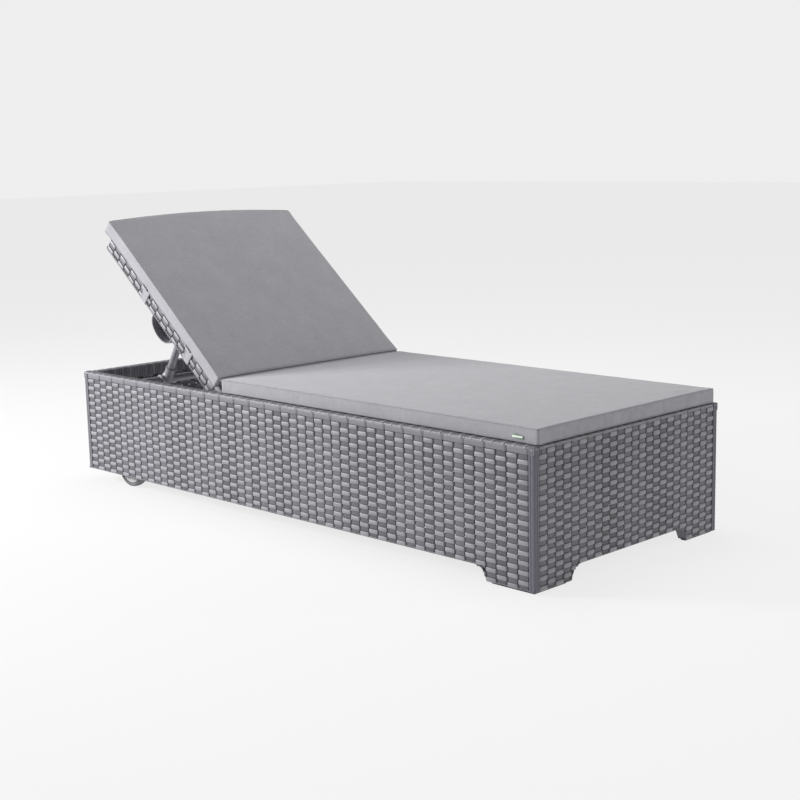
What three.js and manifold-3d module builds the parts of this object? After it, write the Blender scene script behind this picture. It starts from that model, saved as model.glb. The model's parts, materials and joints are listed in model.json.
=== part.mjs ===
// Reclining sun lounger: woven body on a tube frame, hinged backrest with a
// folding stay that rests in notched racks, two cushions and two transport wheels.
// Millimetres, +Z up. X runs from the head end (-) to the foot end (+), the
// origin is on the floor under the middle of the body.

import * as THREE from 'three';
import { mergeVertices } from 'three/addons/utils/BufferGeometryUtils.js';
import Module from 'manifold-3d';

const wasm = await Module();
wasm.setup();

// ---------------------------------------------------------------- dimensions

const LENGTH = 2000;            // body, head to foot
const WIDTH = 810;              // body, side to side
const RIM_Z = 380;              // top of the woven rim
const BODY_BOTTOM_Z = 44;       // underside of the body above the feet
const GAP = 0.3;                // air left between touching pieces

const SKIN = 5;                 // woven skin thickness
const RIM_WIDTH = 33;           // skin wraps this far over the top rail
const LIP = 3.2;                // inner edge of the wrapped rim
const LIP_BOTTOM_Z = 340;
const STRAND_ROWS = 26;         // horizontal strands in the height of a side
const STRAND_RELIEF = 1.6;

const TUBE = 24;                // square frame tube
const TUBE_WALL = 1.5;

const CUSHION_TOP_Z = 421;
const CUSHION_WIDTH = 778;
const CUSHION_ROUND = 11;       // edge rounding of both cushions

const BACK_ANGLE = THREE.MathUtils.degToRad(40.2);
const HINGE_X = -290;           // backrest hinge axis
const HINGE_Z = 350;

const HALF_LENGTH = LENGTH / 2;
const HALF_WIDTH = WIDTH / 2;
const WELL_HALF_WIDTH = HALF_WIDTH - RIM_WIDTH;
const RAIL_OUTER_Y = HALF_WIDTH - SKIN - GAP;       // outer face of side rails
const RAIL_INNER_Y = RAIL_OUTER_Y - TUBE;
const RAIL_OUTER_X = HALF_LENGTH - SKIN - GAP;
const RAIL_INNER_X = RAIL_OUTER_X - TUBE;
const TOP_RAIL_Z = RIM_Z - SKIN - GAP - TUBE;       // underside of the top rails
const DECK_THICKNESS = 8;
const DECK_RAIL_Z = RIM_Z - DECK_THICKNESS - GAP - TUBE;

// ------------------------------------------------------------------ materials

const finish = (color, roughness, metalness = 0) =>
  new THREE.MeshStandardMaterial({ color, roughness, metalness });

const MATERIALS = {
  wicker: finish(0x6d6670, 0.62),
  frame: finish(0x54525a, 0.45, 0.55),
  cushion: finish(0xb4b2b6, 0.95),
  stay: finish(0x6a6870, 0.4, 0.6),
  fitting: finish(0x4a484e, 0.5, 0.3),
  tyre: finish(0x5c5b60, 0.85),
  hub: finish(0xa7a6aa, 0.55),
  pad: finish(0x2b2b2e, 0.8),
};

// ------------------------------------------------------------ solid modelling

const toManifold = (geometry) => {
  const bare = geometry.clone();
  bare.deleteAttribute('normal');
  bare.deleteAttribute('uv');
  const welded = mergeVertices(bare, 1e-4);
  return new wasm.Manifold(new wasm.Mesh({
    numProp: 3,
    vertProperties: new Float32Array(welded.attributes.position.array),
    triVerts: new Uint32Array(welded.index.array),
  }));
};

const toGeometry = (solid) => {
  const mesh = solid.getMesh();
  const geometry = new THREE.BufferGeometry();
  geometry.setAttribute('position', new THREE.BufferAttribute(mesh.vertProperties, 3));
  geometry.setIndex(new THREE.BufferAttribute(mesh.triVerts, 1));
  geometry.computeVertexNormals();
  return geometry;
};

const union = (...parts) =>
  toGeometry(parts.map(toManifold).reduce((sum, part) => sum.add(part)));

const subtract = (body, ...cutters) =>
  toGeometry(cutters.map(toManifold).reduce((left, cutter) => left.subtract(cutter), toManifold(body)));

// Box between two corners, in any order.
const block = ([x0, x1], [y0, y1], [z0, z1]) =>
  new THREE.BoxGeometry(Math.abs(x1 - x0), Math.abs(y1 - y0), Math.abs(z1 - z0))
    .translate((x0 + x1) / 2, (y0 + y1) / 2, (z0 + z1) / 2);

// Extrudes a shape drawn in the plane across an axis, from one position to the next.
// Along X the shape is drawn in (y, z), along Y in (x, z), along Z in (x, y).
const extrude = (shape, axis, from, to, curveSegments = 8) => {
  const geometry = new THREE.ExtrudeGeometry(shape, {
    depth: to - from, bevelEnabled: false, curveSegments,
  });
  const turn = new THREE.Matrix4();
  if (axis === 'x') {
    turn.makeBasis(new THREE.Vector3(0, 1, 0), new THREE.Vector3(0, 0, 1), new THREE.Vector3(1, 0, 0));
    return geometry.applyMatrix4(turn).translate(from, 0, 0);
  }
  if (axis === 'y') {
    return geometry.rotateX(Math.PI / 2).translate(0, to, 0);
  }
  return geometry.translate(0, 0, from);
};

const outline = (points) => new THREE.Shape(points.map(([a, b]) => new THREE.Vector2(a, b)));

const roundedRect = (a0, a1, b0, b1, radius, Path = THREE.Shape) => {
  const path = new Path();
  path.moveTo(a0 + radius, b0);
  path.lineTo(a1 - radius, b0);
  path.absarc(a1 - radius, b0 + radius, radius, -Math.PI / 2, 0);
  path.lineTo(a1, b1 - radius);
  path.absarc(a1 - radius, b1 - radius, radius, 0, Math.PI / 2);
  path.lineTo(a0 + radius, b1);
  path.absarc(a0 + radius, b1 - radius, radius, Math.PI / 2, Math.PI);
  path.lineTo(a0, b0 + radius);
  path.absarc(a0 + radius, b0 + radius, radius, Math.PI, Math.PI * 1.5);
  return path;
};

// Hollow square tube along an axis; a and b are the low corner of its section.
const squareTube = (axis, from, to, a, b, height = TUBE, width = TUBE) => {
  const section = roundedRect(a, a + width, b, b + height, 2.5);
  section.holes.push(roundedRect(a + TUBE_WALL, a + width - TUBE_WALL,
    b + TUBE_WALL, b + height - TUBE_WALL, 1.2, THREE.Path));
  return extrude(section, axis, from, to, 2);
};

const disc = (a, b, radius, Path = THREE.Shape) => {
  const path = new Path();
  path.absarc(a, b, radius, 0, Math.PI * 2);
  return path;
};

// Round bar along Y.
const roundBar = (x, z, radius, from, to, segments = 24) =>
  new THREE.CylinderGeometry(radius, radius, to - from, segments)
    .translate(x, (from + to) / 2, z);

// Round tube along Y, open at both ends.
const roundTube = (x, z, radius, wall, from, to) => {
  const section = disc(x, z, radius);
  section.holes.push(disc(x, z, radius - wall, THREE.Path));
  return extrude(section, 'y', from, to, 16);
};

// Cushion block with rounded edges and corners, lying flat.
const cushionBlock = (x0, x1, halfWidth, z0, z1, cornerRadius) => {
  const plan = roundedRect(x0, x1, -halfWidth, halfWidth, cornerRadius);
  const geometry = new THREE.ExtrudeGeometry(plan, {
    depth: z1 - z0 - 2 * CUSHION_ROUND,
    bevelThickness: CUSHION_ROUND,
    bevelSize: CUSHION_ROUND,
    bevelOffset: -CUSHION_ROUND,
    bevelSegments: 3,
    curveSegments: 4,
  });
  return geometry.translate(0, 0, z0 + CUSHION_ROUND);
};

// ------------------------------------------------------------------- assembly

const lounger = new THREE.Group();
lounger.name = 'sun_lounger';

const addTo = (group, name, geometry, material) => {
  const mesh = new THREE.Mesh(geometry, MATERIALS[material].clone());
  mesh.name = name;
  group.add(mesh);
  return mesh;
};

const add = (name, geometry, material) => addTo(lounger, name, geometry, material);

// Left is +Y and right is -Y, as seen when facing the foot end.
const SIDES = [['left', 1], ['right', -1]];
const span = (side, inner, outer) => (side > 0 ? [inner, outer] : [-outer, -inner]);

// ---------------------------------------------------------------- woven skins

// Profile of a woven wall across its length: ribbed outer face, wrapped rim on
// top, short lip inside. Coordinates are distance outwards and height.
const skinProfile = (outer, mirrored, hasLip) => {
  const sign = mirrored ? -1 : 1;
  const inner = outer - SKIN;
  const rimInner = outer - RIM_WIDTH;
  const points = [];
  const rowHeight = (RIM_Z - SKIN - BODY_BOTTOM_Z) / STRAND_ROWS;
  const steps = 4;
  for (let row = 0; row < STRAND_ROWS; row += 1) {
    for (let step = 0; step < steps; step += 1) {
      const along = step / steps;
      const bulge = Math.sin(Math.PI * along);
      points.push([
        outer - STRAND_RELIEF * (1 - bulge),
        BODY_BOTTOM_Z + rowHeight * (row + along),
      ]);
    }
  }
  points.push([outer - STRAND_RELIEF, RIM_Z - SKIN]);
  points.push([outer, RIM_Z - SKIN]);
  points.push([outer - 0.5, RIM_Z - 2]);
  points.push([outer - 2.5, RIM_Z]);
  points.push([rimInner + 1.5, RIM_Z]);
  points.push([rimInner, RIM_Z - 1.5]);
  if (hasLip) {
    points.push([rimInner, LIP_BOTTOM_Z]);
    points.push([rimInner + LIP, LIP_BOTTOM_Z]);
    points.push([rimInner + LIP, RIM_Z - SKIN]);
  } else {
    points.push([rimInner, RIM_Z - SKIN]);
  }
  points.push([inner, RIM_Z - SKIN]);
  points.push([inner, BODY_BOTTOM_Z]);
  return outline(points.map(([a, b]) => [a * sign, b]));
};

for (const [label, side] of SIDES) {
  const wall = extrude(skinProfile(HALF_WIDTH, side < 0, true), 'x', -HALF_LENGTH, HALF_LENGTH);
  const lipEnds = [-1, 1].map((end) => block(
    [end * (RAIL_INNER_X - LIP - GAP), end * (HALF_LENGTH + 1)],
    span(side, WELL_HALF_WIDTH - 1, HALF_WIDTH - SKIN),
    [LIP_BOTTOM_Z - 1, RIM_Z - SKIN],
  ));
  add(`side_skin_${label}`, subtract(wall, ...lipEnds), 'wicker');
}

for (const [label, end] of [['foot', 1], ['head', -1]]) {
  const wall = extrude(skinProfile(HALF_LENGTH, end < 0, true), 'y',
    -(HALF_WIDTH - SKIN - GAP), HALF_WIDTH - SKIN - GAP);
  const rimEnds = [-1, 1].map((side) => block(
    [end * (HALF_LENGTH - RIM_WIDTH - 1), end * (HALF_LENGTH + 1)],
    [side * (WELL_HALF_WIDTH - GAP), side * HALF_WIDTH],
    [RIM_Z - SKIN - GAP, RIM_Z + 1],
  ));
  const lipEnds = [-1, 1].map((side) => block(
    [end * (HALF_LENGTH - RIM_WIDTH - 1), end * (HALF_LENGTH - SKIN)],
    [side * (WELL_HALF_WIDTH - GAP), side * HALF_WIDTH],
    [LIP_BOTTOM_Z - 1, RIM_Z - SKIN],
  ));
  add(`end_skin_${label}`, subtract(wall, ...rimEnds, ...lipEnds), 'wicker');
}

// ---------------------------------------------------------------- tube frame

for (const [label, side] of SIDES) {
  const low = side > 0 ? RAIL_INNER_Y : -RAIL_OUTER_Y;
  add(`top_rail_${label}`, squareTube('x', -RAIL_OUTER_X, RAIL_OUTER_X, low, TOP_RAIL_Z), 'frame');
  add(`low_rail_${label}`, squareTube('x', -RAIL_OUTER_X, RAIL_OUTER_X, low, BODY_BOTTOM_Z), 'frame');
}

for (const [label, end] of [['foot', 1], ['head', -1]]) {
  const low = end > 0 ? RAIL_INNER_X : -RAIL_OUTER_X;
  const reach = RAIL_INNER_Y - GAP;
  add(`top_rail_${label}`, squareTube('y', -reach, reach, low, TOP_RAIL_Z), 'frame');
  add(`low_rail_${label}`, squareTube('y', -reach, reach, low, BODY_BOTTOM_Z), 'frame');
}

const POST_BOTTOM_Z = BODY_BOTTOM_Z + TUBE + GAP;
const POST_TOP_Z = TOP_RAIL_Z - GAP;
const RACK_POSTS = [['front', -724], ['rear', -924]];   // low X face of each post

const addPost = (name, lowX, side) => {
  const lowY = side > 0 ? RAIL_INNER_Y : -RAIL_OUTER_Y;
  add(name, squareTube('z', POST_BOTTOM_Z, POST_TOP_Z, lowX, lowY), 'frame');
};

for (const [label, side] of SIDES) {
  addPost(`corner_post_foot_${label}`, RAIL_INNER_X, side);
  addPost(`corner_post_head_${label}`, -RAIL_OUTER_X, side);
  for (const [place, lowX] of RACK_POSTS) {
    addPost(`rack_post_${place}_${label}`, lowX, side);
  }
}

const DECK_START_X = -238;
const DECK_RAILS = [['hinge', DECK_START_X], ['middle', 360]];
for (const [label, lowX] of DECK_RAILS) {
  const reach = WELL_HALF_WIDTH - GAP;
  add(`deck_rail_${label}`, squareTube('y', -reach, reach, lowX, DECK_RAIL_Z), 'frame');
}

add('deck_mat', block(
  [DECK_START_X, HALF_LENGTH - RIM_WIDTH - GAP],
  [-(WELL_HALF_WIDTH - GAP), WELL_HALF_WIDTH - GAP],
  [RIM_Z - DECK_THICKNESS, RIM_Z],
), 'wicker');

// ----------------------------------------------------------------- woven feet

const FOOT_PAD = 5;
const FOOT_DEPTH = 30;
const FOOT_TOP_Z = BODY_BOTTOM_Z - GAP;
const FOOT_SIDE_LENGTH = 180;
const FOOT_END_WIDTH = 165;
const FOOT_TAPER = 18;          // how much shorter each foot is at the ground
const FOOT_ROUND = 10;

// Foot outline seen square on: full length on top, tapered and rounded below.
const footOutline = (outer, length, mirrored) => {
  const sign = mirrored ? -1 : 1;
  const points = [[outer, FOOT_TOP_Z], [outer - length, FOOT_TOP_Z]];
  const innerBottom = outer - length + FOOT_TAPER;
  const arcSteps = 4;
  for (let step = 0; step <= arcSteps; step += 1) {
    const turn = (Math.PI / 2) * (step / arcSteps);
    points.push([
      innerBottom + FOOT_ROUND * (1 - Math.cos(turn)),
      FOOT_PAD + FOOT_ROUND * (1 - Math.sin(turn)),
    ]);
  }
  for (let step = 0; step <= arcSteps; step += 1) {
    const turn = (Math.PI / 2) * (step / arcSteps);
    points.push([
      outer - FOOT_ROUND * (1 - Math.sin(turn)),
      FOOT_PAD + FOOT_ROUND * (1 - Math.cos(turn)),
    ]);
  }
  return outline(points.map(([a, b]) => [a * sign, b]));
};

for (const [label, side] of SIDES) {
  const [y0, y1] = span(side, HALF_WIDTH - FOOT_DEPTH, HALF_WIDTH);
  const along = extrude(footOutline(HALF_LENGTH, FOOT_SIDE_LENGTH, false), 'y', y0, y1);
  const across = extrude(footOutline(HALF_WIDTH, FOOT_END_WIDTH, side < 0), 'x',
    HALF_LENGTH - FOOT_DEPTH, HALF_LENGTH);
  add(`foot_${label}`, union(along, across), 'wicker');

  const padInset = 4;
  const padTop = FOOT_PAD - GAP;
  const padAlong = block(
    [HALF_LENGTH - FOOT_SIDE_LENGTH + FOOT_TAPER + FOOT_ROUND, HALF_LENGTH - FOOT_ROUND],
    span(side, HALF_WIDTH - FOOT_DEPTH + padInset, HALF_WIDTH - FOOT_ROUND), [0, padTop],
  );
  const padAcross = block(
    [HALF_LENGTH - FOOT_DEPTH + padInset, HALF_LENGTH - FOOT_ROUND],
    span(side, HALF_WIDTH - FOOT_END_WIDTH + FOOT_TAPER + FOOT_ROUND, HALF_WIDTH - FOOT_ROUND),
    [0, padTop],
  );
  add(`foot_pad_${label}`, union(padAlong, padAcross), 'pad');
}

// --------------------------------------------------------------- seat cushion

const SEAT_START_X = -263;
const CUSHION_REST_Z = RIM_Z + 0.4;
add('seat_cushion', cushionBlock(SEAT_START_X, HALF_LENGTH, CUSHION_WIDTH / 2,
  CUSHION_REST_Z, CUSHION_TOP_Z, 16), 'cushion');

// ------------------------------------------------------------ wheels and axle

const WHEEL_X = -803;
const WHEEL_RADIUS = 65;
const WHEEL_WIDTH = 32;
const WHEEL_CENTRE_Y = 357;
const AXLE_RADIUS = 6;
const AXLE_PLAY = 0.35;
const BRACKET_THICKNESS = 5;
const WHEEL_RAIL_Z = BODY_BOTTOM_Z + TUBE + GAP;
const WHEEL_RAILS = [['front', -712], ['rear', -918]];   // low X face of each rail

for (const [label, lowX] of WHEEL_RAILS) {
  const reach = RAIL_INNER_Y - GAP;
  add(`wheel_rail_${label}`, squareTube('y', -reach, reach, lowX, WHEEL_RAIL_Z), 'frame');
}

for (const [label, side] of SIDES) {
  const inner = WHEEL_CENTRE_Y - WHEEL_WIDTH / 2 - 4 - BRACKET_THICKNESS;
  const [y0, y1] = span(side, inner, inner + BRACKET_THICKNESS);
  const backEnd = WHEEL_RAILS[1][1] + TUBE + GAP;
  const frontEnd = WHEEL_RAILS[0][1] - GAP;
  const plate = roundedRect(backEnd, frontEnd, BODY_BOTTOM_Z + 4, BODY_BOTTOM_Z + TUBE + 16, 5);
  plate.holes.push(disc(WHEEL_X, WHEEL_RADIUS, AXLE_RADIUS + AXLE_PLAY, THREE.Path));
  add(`wheel_bracket_${label}`, extrude(plate, 'y', y0, y1, 6), 'frame');

  const tyreProfile = [
    [WHEEL_RADIUS - 13, -WHEEL_WIDTH / 2 + 3],
    [WHEEL_RADIUS - 5, -WHEEL_WIDTH / 2],
    [WHEEL_RADIUS - 1.5, -WHEEL_WIDTH / 2 + 4],
    [WHEEL_RADIUS, -WHEEL_WIDTH / 2 + 9],
    [WHEEL_RADIUS, WHEEL_WIDTH / 2 - 9],
    [WHEEL_RADIUS - 1.5, WHEEL_WIDTH / 2 - 4],
    [WHEEL_RADIUS - 5, WHEEL_WIDTH / 2],
    [WHEEL_RADIUS - 13, WHEEL_WIDTH / 2 - 3],
    [WHEEL_RADIUS - 13, -WHEEL_WIDTH / 2 + 3],
  ].map(([radius, along]) => new THREE.Vector2(radius, along));
  add(`tyre_${label}`, new THREE.LatheGeometry(tyreProfile, 40)
    .translate(WHEEL_X, side * WHEEL_CENTRE_Y, WHEEL_RADIUS), 'tyre');

  // Hub disc with a raised boss; the outer face looks away from the middle.
  const rim = WHEEL_RADIUS - 13 - GAP;
  const bore = AXLE_RADIUS + AXLE_PLAY;
  const hubProfile = [
    [bore, -14], [18, -14], [18, -8], [rim - 8, -8], [rim, -12],
    [rim, 12], [rim - 3, 12], [rim - 6, 9], [20, 9], [18, 14], [bore, 14], [bore, -14],
  ].map(([radius, along]) => new THREE.Vector2(radius, along * side));
  if (side < 0) {
    hubProfile.reverse();
  }
  add(`hub_${label}`, new THREE.LatheGeometry(hubProfile, 40)
    .translate(WHEEL_X, side * WHEEL_CENTRE_Y, WHEEL_RADIUS), 'hub');
}

const axleReach = WHEEL_CENTRE_Y + WHEEL_WIDTH / 2;
add('axle', roundBar(WHEEL_X, WHEEL_RADIUS, AXLE_RADIUS, -axleReach, axleReach), 'stay');

// ------------------------------------------------------- backrest (hinged part)

// The backrest is drawn lying flat with its hinge axis at the origin: it runs
// towards -X, and +Z is the side that carries the cushion.
const backrest = new THREE.Group();
backrest.name = 'backrest';
backrest.position.set(HINGE_X, 0, HINGE_Z);
backrest.rotation.y = BACK_ANGLE;
lounger.add(backrest);

const BACK_LENGTH = 742;        // hinge axis to the top edge
const BACK_HALF_WIDTH = 368;
const BACK_FRONT = 24;          // shell front above the hinge axis
const BACK_REAR = -35;          // shell rear below it
const BACK_TAIL = 24;           // shell behind the axis, towards the seat
const BACK_SKIN = 5;
const REAR_LIP_WIDTH = 26;
const PIN_RADIUS = 6;
const PIN_PLAY = 0.3;

const shellX = [-BACK_LENGTH, BACK_TAIL];
const shellY = [-BACK_HALF_WIDTH, BACK_HALF_WIDTH];
const inset = ([low, high], by) => [low + by, high - by];
const shellCavity = block(inset(shellX, BACK_SKIN), inset(shellY, BACK_SKIN),
  [BACK_REAR + BACK_SKIN, BACK_FRONT - BACK_SKIN]);
const shellOpening = block(inset(shellX, REAR_LIP_WIDTH), inset(shellY, REAR_LIP_WIDTH),
  [BACK_REAR - 1, BACK_REAR + BACK_SKIN + 1]);
const hingeReach = WELL_HALF_WIDTH - GAP;
const shellPinHoles = roundBar(0, 0, PIN_RADIUS + PIN_PLAY, -hingeReach, hingeReach);
const shellOutline = extrude(
  roundedRect(...shellX, BACK_REAR, BACK_FRONT, 6), 'y', ...shellY, 3);
addTo(backrest, 'back_shell', subtract(shellOutline, shellCavity, shellOpening, shellPinHoles), 'wicker');

const STILE_WIDTH = 20;
const stileOuter = BACK_HALF_WIDTH - BACK_SKIN - GAP;
const stileInner = stileOuter - STILE_WIDTH;
const frameZ = [BACK_REAR + BACK_SKIN + GAP, BACK_FRONT - BACK_SKIN - GAP];
const frameX = inset(shellX, BACK_SKIN + GAP);
const frameHeight = frameZ[1] - frameZ[0];
for (const [label, side] of SIDES) {
  const low = side > 0 ? stileInner : -stileOuter;
  const stile = squareTube('x', ...frameX, low, frameZ[0], frameHeight, STILE_WIDTH);
  const pinHole = roundBar(0, 0, PIN_RADIUS + PIN_PLAY, ...span(side, stileInner - 1, stileOuter + 1));
  addTo(backrest, `back_stile_${label}`, subtract(stile, pinHole), 'frame');
}

const crossReach = stileInner - GAP;
addTo(backrest, 'back_top_rail', squareTube('y', -crossReach, crossReach,
  frameX[0], frameZ[0], frameHeight, STILE_WIDTH), 'frame');

const SLAT_WIDTH = 40;
const SLAT_THICKNESS = 12;
for (const [label, x] of [['low', -260], ['high', -520]]) {
  addTo(backrest, `back_slat_${label}`, block([x - SLAT_WIDTH / 2, x + SLAT_WIDTH / 2],
    [-crossReach, crossReach], [frameZ[1] - SLAT_THICKNESS, frameZ[1]]), 'frame');
}

// Pivot tube on the hinge axis; its thin ends turn in the hinge brackets.
const PIVOT_TUBE_RADIUS = 12.5;
addTo(backrest, 'back_pivot_tube', union(
  roundBar(0, 0, PIVOT_TUBE_RADIUS, -crossReach, crossReach),
  roundBar(0, 0, PIN_RADIUS, -hingeReach, hingeReach),
), 'frame');

const HINGE_PLATE = 3;
for (const [label, side] of SIDES) {
  const plate = roundedRect(HINGE_X - 22, HINGE_X + 40, HINGE_Z - 20, HINGE_Z + 20, 6);
  plate.holes.push(disc(HINGE_X, HINGE_Z, PIN_RADIUS + PIN_PLAY, THREE.Path));
  const [y0, y1] = span(side, WELL_HALF_WIDTH - GAP - HINGE_PLATE, WELL_HALF_WIDTH - GAP);
  add(`hinge_bracket_${label}`, extrude(plate, 'y', y0, y1, 6), 'frame');
}

// Back cushion, its lower end cut short so that it folds clear of the seat cushion.
const FOLD_ABOVE_AXIS = 68.5;   // cushion front above the hinge axis
const FOLD_X = -29;             // fold crease, measured along the backrest
const FOLD_CLEARANCE = 13;
const BACK_CUSHION_LENGTH = 728;
const BACK_CUSHION_GAP = 2;     // keeps the cushion above the side rims when lowered
addTo(backrest, 'back_cushion', cushionBlock(FOLD_X - BACK_CUSHION_LENGTH, FOLD_X - FOLD_CLEARANCE,
  CUSHION_WIDTH / 2, BACK_FRONT + BACK_CUSHION_GAP, FOLD_ABOVE_AXIS, 16), 'cushion');

// Fabric straps round the rear of the backrest.
const STRAP_WIDTH = 34;
const STRAP_THICKNESS = 2;
const STRAP_TOP_Z = BACK_FRONT - 2;
const STRAP_CENTRE_X = { low: -205, high: -485 };
for (const [label, x] of Object.entries(STRAP_CENTRE_X)) {
  const inner = BACK_HALF_WIDTH + GAP;
  const outer = inner + STRAP_THICKNESS;
  const rear = BACK_REAR - GAP;
  const band = outline([
    [-outer, STRAP_TOP_Z], [-outer, rear - STRAP_THICKNESS],
    [outer, rear - STRAP_THICKNESS], [outer, STRAP_TOP_Z],
    [inner, STRAP_TOP_Z], [inner, rear], [-inner, rear], [-inner, STRAP_TOP_Z],
  ]);
  addTo(backrest, `cushion_strap_${label}`,
    extrude(band, 'x', x - STRAP_WIDTH / 2, x + STRAP_WIDTH / 2), 'cushion');
}

// ------------------------------------------------------ stay and its housings

const STAY_PIVOT_X = -372;      // along the backrest from its hinge axis
const STAY_PIVOT_Z = BACK_REAR - 24;
const STAY_LENGTH = 214.5;
const STAY_ANGLE = THREE.MathUtils.degToRad(-98.8);   // from the backrest, at rest
const STAY_TUBE_RADIUS = 12.5;
const STAY_TUBE_WALL = 1.5;
const LEG_Y = 258;

const HOUSING_HALF_LENGTH = 60;
const HOUSING_DEPTH = 44;
const HOUSING_SHEET = 3;
const HOUSING_Y = [326, 362];
const HOUSING_CENTRE_X = -365;
const HOUSING_BACKING_HALF_LENGTH = HOUSING_HALF_LENGTH - 8;

// D-shaped cup: half an oval rim standing on the shell, closed on its inner side.
const halfOval = (halfLength, depth, Path = THREE.Shape) => {
  const path = new Path();
  const top = BACK_REAR - GAP;
  const steps = 20;
  for (let step = 0; step <= steps; step += 1) {
    const turn = Math.PI * (step / steps);
    const x = HOUSING_CENTRE_X + halfLength * Math.cos(turn);
    const z = top - depth * Math.sin(turn) ** 0.8;
    if (step === 0) {
      path.moveTo(x, z);
    } else {
      path.lineTo(x, z);
    }
  }
  path.closePath();
  return path;
};

for (const [label, side] of SIDES) {
  const [innerY, outerY] = HOUSING_Y;
  const cup = extrude(halfOval(HOUSING_HALF_LENGTH, HOUSING_DEPTH), 'y', ...span(side, innerY, outerY));
  const hollow = extrude(halfOval(HOUSING_HALF_LENGTH - HOUSING_SHEET, HOUSING_DEPTH - HOUSING_SHEET), 'y',
    ...span(side, innerY + HOUSING_SHEET, outerY + 1));
  const backing = block(
    [HOUSING_CENTRE_X - HOUSING_BACKING_HALF_LENGTH, HOUSING_CENTRE_X + HOUSING_BACKING_HALF_LENGTH],
    span(side, innerY, outerY), [BACK_REAR - GAP - HOUSING_SHEET, BACK_REAR - GAP]);
  const pinHole = roundBar(STAY_PIVOT_X, STAY_PIVOT_Z, PIN_RADIUS + PIN_PLAY,
    ...span(side, innerY - 1, innerY + HOUSING_SHEET + 1));
  addTo(backrest, `stay_housing_${label}`, subtract(union(subtract(cup, hollow), backing), pinHole), 'stay');
}

// The stay is drawn pointing along -X from its pivot tube at the origin.
const stay = new THREE.Group();
stay.name = 'stay';
stay.position.set(STAY_PIVOT_X, 0, STAY_PIVOT_Z);
stay.rotation.y = STAY_ANGLE;
backrest.add(stay);

const pivotTubeReach = HOUSING_Y[0] - 0.6;
addTo(stay, 'stay_pivot_tube', union(
  roundBar(0, 0, STAY_TUBE_RADIUS, -pivotTubeReach, pivotTubeReach),
  roundBar(0, 0, PIN_RADIUS, -(HOUSING_Y[0] + 8), HOUSING_Y[0] + 8),
), 'stay');

const CROSSBAR_REACH = WELL_HALF_WIDTH - 2;
addTo(stay, 'stay_crossbar', roundTube(-STAY_LENGTH, 0, STAY_TUBE_RADIUS, STAY_TUBE_WALL,
  -CROSSBAR_REACH, CROSSBAR_REACH), 'stay');

// Round bar along X, used for the legs and the necks of the tee fittings.
const barAlongX = (y, from, to, startRadius, endRadius = startRadius, segments = 24) =>
  new THREE.CylinderGeometry(startRadius, endRadius, to - from, segments)
    .rotateZ(Math.PI / 2)
    .translate((from + to) / 2, y, 0);

const TEE_WALL = 3.2;
const TEE_HALF_SLEEVE = 31;
const TEE_NECK_END = -STAY_LENGTH + 48;
const TUBE_FIT = 0.3;
for (const [label, side] of SIDES) {
  const y = side * LEG_Y;
  const fit = STAY_TUBE_RADIUS + TUBE_FIT;
  const legEnd = -STAY_LENGTH + STAY_TUBE_RADIUS + TUBE_FIT;
  const leg = subtract(
    barAlongX(y, legEnd - 2, -2, STAY_TUBE_RADIUS),
    barAlongX(y, legEnd - 10, 0, STAY_TUBE_RADIUS - STAY_TUBE_WALL),
    roundBar(0, 0, fit, y - 30, y + 30),
    roundBar(-STAY_LENGTH, 0, fit, y - 30, y + 30),
  );
  addTo(stay, `stay_leg_${label}`, leg, 'stay');

  const outer = fit + TEE_WALL;
  const sleeve = roundBar(-STAY_LENGTH, 0, outer, y - TEE_HALF_SLEEVE, y + TEE_HALF_SLEEVE);
  const flare = barAlongX(y, -STAY_LENGTH, -STAY_LENGTH + 26, outer, outer + 6);
  const neck = barAlongX(y, -STAY_LENGTH, TEE_NECK_END, outer);
  const tee = subtract(
    union(sleeve, flare, neck),
    roundBar(-STAY_LENGTH, 0, fit, y - 40, y + 40),
    barAlongX(y, -STAY_LENGTH, TEE_NECK_END + 5, fit),
  );
  addTo(stay, `stay_tee_${label}`, tee, 'fitting');
}

// ---------------------------------------------------------------------- racks

// The crossbar travels along the racks while the backrest is lowered. The stay
// turns STAY_RATIO times as far as the backrest, the other way.
const STAY_RATIO = -2.7;
const LOWERED = THREE.MathUtils.degToRad(-34.5);
const RACK_CLEARANCE = 1.2;

const turned = (x, z, angle) => [
  x * Math.cos(angle) + z * Math.sin(angle),
  -x * Math.sin(angle) + z * Math.cos(angle),
];

// Centre of the crossbar when the backrest has turned by the given angle.
const crossbarAt = (turn) => {
  const back = BACK_ANGLE + turn;
  const [pivotX, pivotZ] = turned(STAY_PIVOT_X, STAY_PIVOT_Z, back);
  const [armX, armZ] = turned(-STAY_LENGTH, 0, back + STAY_ANGLE + STAY_RATIO * turn);
  return [HINGE_X + pivotX + armX, HINGE_Z + pivotZ + armZ];
};

const RACK_Y = [364, WELL_HALF_WIDTH - 0.6];
const RACK_BOTTOM_Z = 288;
const RACK_STOP_RISE = 13;
const NOTCHES = 5;
const NOTCH_DEPTH = 11;

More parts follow.
